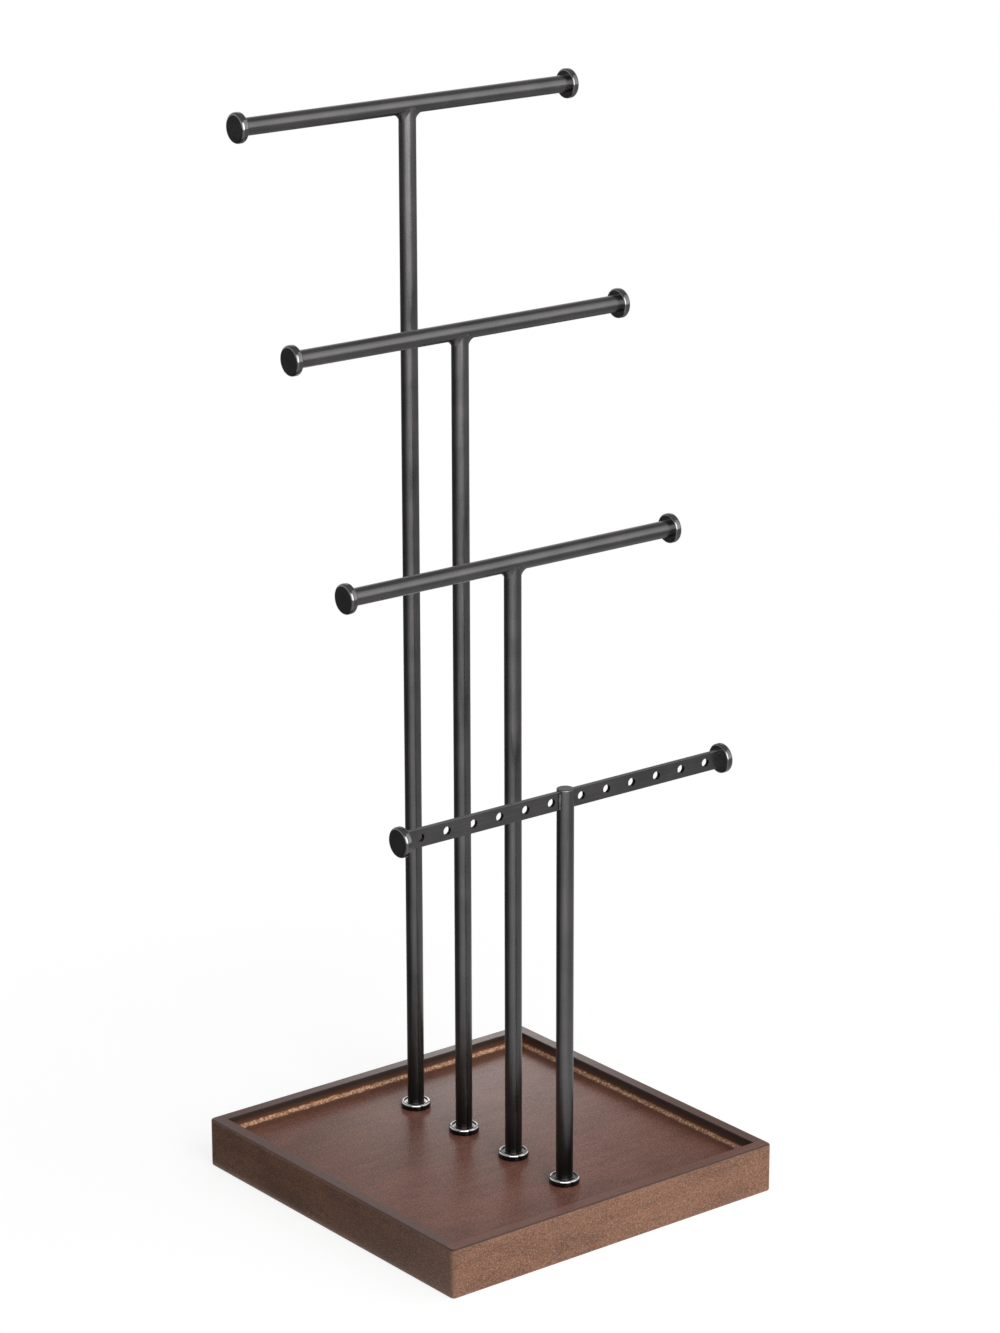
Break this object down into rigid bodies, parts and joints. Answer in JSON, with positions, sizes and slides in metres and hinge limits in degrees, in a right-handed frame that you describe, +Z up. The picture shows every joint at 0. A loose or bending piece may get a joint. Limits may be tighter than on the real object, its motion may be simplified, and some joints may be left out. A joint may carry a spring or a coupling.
{
  "type": "jewelry stand",
  "caption": "Tiered jewellery stand: upright T-bar hangers of falling height in a row on a shallow square wooden tray, the lowest a flat bar with earring holes.",
  "frame": {"origin": "middle of the tray's underside, on the surface that the stand rests on", "axes": "+Z up; +X along the crossbars to the right; +Y towards the tallest hanger at the back"},
  "size_m": [0.15, 0.15, 0.405],
  "materials": {
    "stained_frame_wood": "dark brown stain, satin",
    "stained_floor_wood": "reddish brown stain, semi-gloss",
    "gunmetal": "dark gunmetal, satin",
    "black_nickel": "black nickel, polished",
    "screw_steel": "zinc plated"
  },
  "bodies": {
    "tray": {"front_rail": "stained_frame_wood", "back_rail": "stained_frame_wood", "left_rail": "stained_frame_wood", "right_rail": "stained_frame_wood", "tray_floor": "stained_floor_wood"},
    "hanger_1": {"post_1": "gunmetal", "crossbar_1": "gunmetal", "weld_1": "gunmetal", "end_cap_1_left": "black_nickel", "end_cap_1_right": "black_nickel", "collar_1": "black_nickel", "washer_1": "screw_steel", "post_screw_1": "screw_steel"},
    "hanger_2": {"post_2": "gunmetal", "crossbar_2": "gunmetal", "weld_2": "gunmetal", "end_cap_2_left": "black_nickel", "end_cap_2_right": "black_nickel", "collar_2": "black_nickel", "washer_2": "screw_steel", "post_screw_2": "screw_steel"},
    "hanger_3": {"post_3": "gunmetal", "crossbar_3": "gunmetal", "weld_3": "gunmetal", "end_cap_3_left": "black_nickel", "end_cap_3_right": "black_nickel", "collar_3": "black_nickel", "washer_3": "screw_steel", "post_screw_3": "screw_steel"},
    "hanger_4": {"post_4": "gunmetal", "earring_bar": "gunmetal", "weld_4": "gunmetal", "end_cap_4_left": "black_nickel", "end_cap_4_right": "black_nickel", "collar_4": "black_nickel", "washer_4": "screw_steel", "post_screw_4": "screw_steel"}
  },
  "joints": [
    {"name": "hanger_1_swivel", "type": "hinge", "parent": "tray", "child": "hanger_1", "pos_m": [0, 0.045, 0.014], "axis": [0, 0, 1], "continuous": true},
    {"name": "hanger_2_swivel", "type": "hinge", "parent": "tray", "child": "hanger_2", "pos_m": [0, 0.015, 0.014], "axis": [0, 0, 1], "range_deg": [-76, 76]},
    {"name": "hanger_3_swivel", "type": "hinge", "parent": "tray", "child": "hanger_3", "pos_m": [0, -0.015, 0.014], "axis": [0, 0, 1], "range_deg": [-76, 76]},
    {"name": "hanger_4_swivel", "type": "hinge", "parent": "tray", "child": "hanger_4", "pos_m": [0, -0.045, 0.014], "axis": [0, 0, 1], "range_deg": [-80, 80]}
  ]
}
